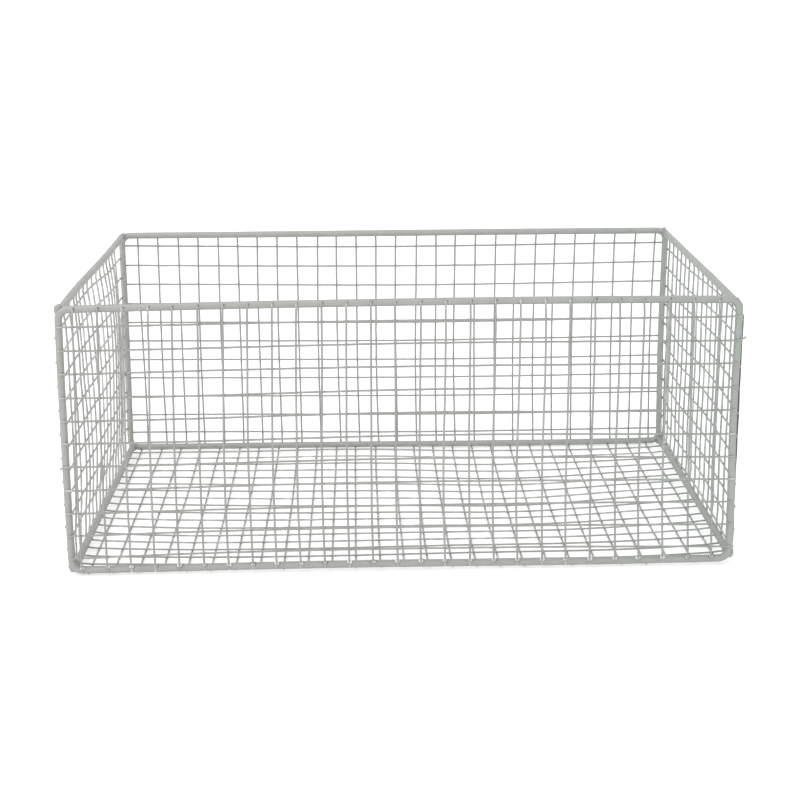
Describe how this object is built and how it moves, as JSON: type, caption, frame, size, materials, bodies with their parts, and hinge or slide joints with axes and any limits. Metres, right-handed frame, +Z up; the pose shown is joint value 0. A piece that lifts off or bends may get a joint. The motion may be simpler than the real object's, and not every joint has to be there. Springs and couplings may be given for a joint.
{
  "type": "wire locker basket",
  "caption": "Open-topped rectangular basket of straight welded wires on a round rod frame, for keeping things in a locker or on a shelf.",
  "frame": {"origin": "on the surface that the basket stands on, under the middle of the basket", "axes": "+X along the front towards the right side, +Y from the front to the back, +Z up"},
  "size_m": [0.5356, 0.3352, 0.2192],
  "materials": {
    "zinc_rod": "dull plated zinc over drawn steel rod",
    "zinc_wire": "dull plated zinc over drawn steel wire",
    "zinc_weld": "lumpy weld metal under the same plating"
  },
  "bodies": {
    "root": {"front_frame": "zinc_rod", "back_frame": "zinc_rod", "top_left_side_rod": "zinc_rod", "bottom_left_side_rod": "zinc_rod", "top_right_side_rod": "zinc_rod", "bottom_right_side_rod": "zinc_rod", "front_top_left_weld": "zinc_weld", "back_top_left_weld": "zinc_weld", "front_bottom_left_weld": "zinc_weld", "back_bottom_left_weld": "zinc_weld", "front_top_right_weld": "zinc_weld", "back_top_right_weld": "zinc_weld", "front_bottom_right_weld": "zinc_weld", "back_bottom_right_weld": "zinc_weld", "front_sheet_uprights": "zinc_wire", "front_sheet_crosswires": "zinc_wire", "back_sheet_uprights": "zinc_wire", "back_sheet_crosswires": "zinc_wire", "left_sheet_uprights": "zinc_wire", "left_sheet_crosswires": "zinc_wire", "right_sheet_uprights": "zinc_wire", "right_sheet_crosswires": "zinc_wire", "bottom_sheet_depth_wires": "zinc_wire", "bottom_sheet_width_wires": "zinc_wire"}
  },
  "joints": []
}
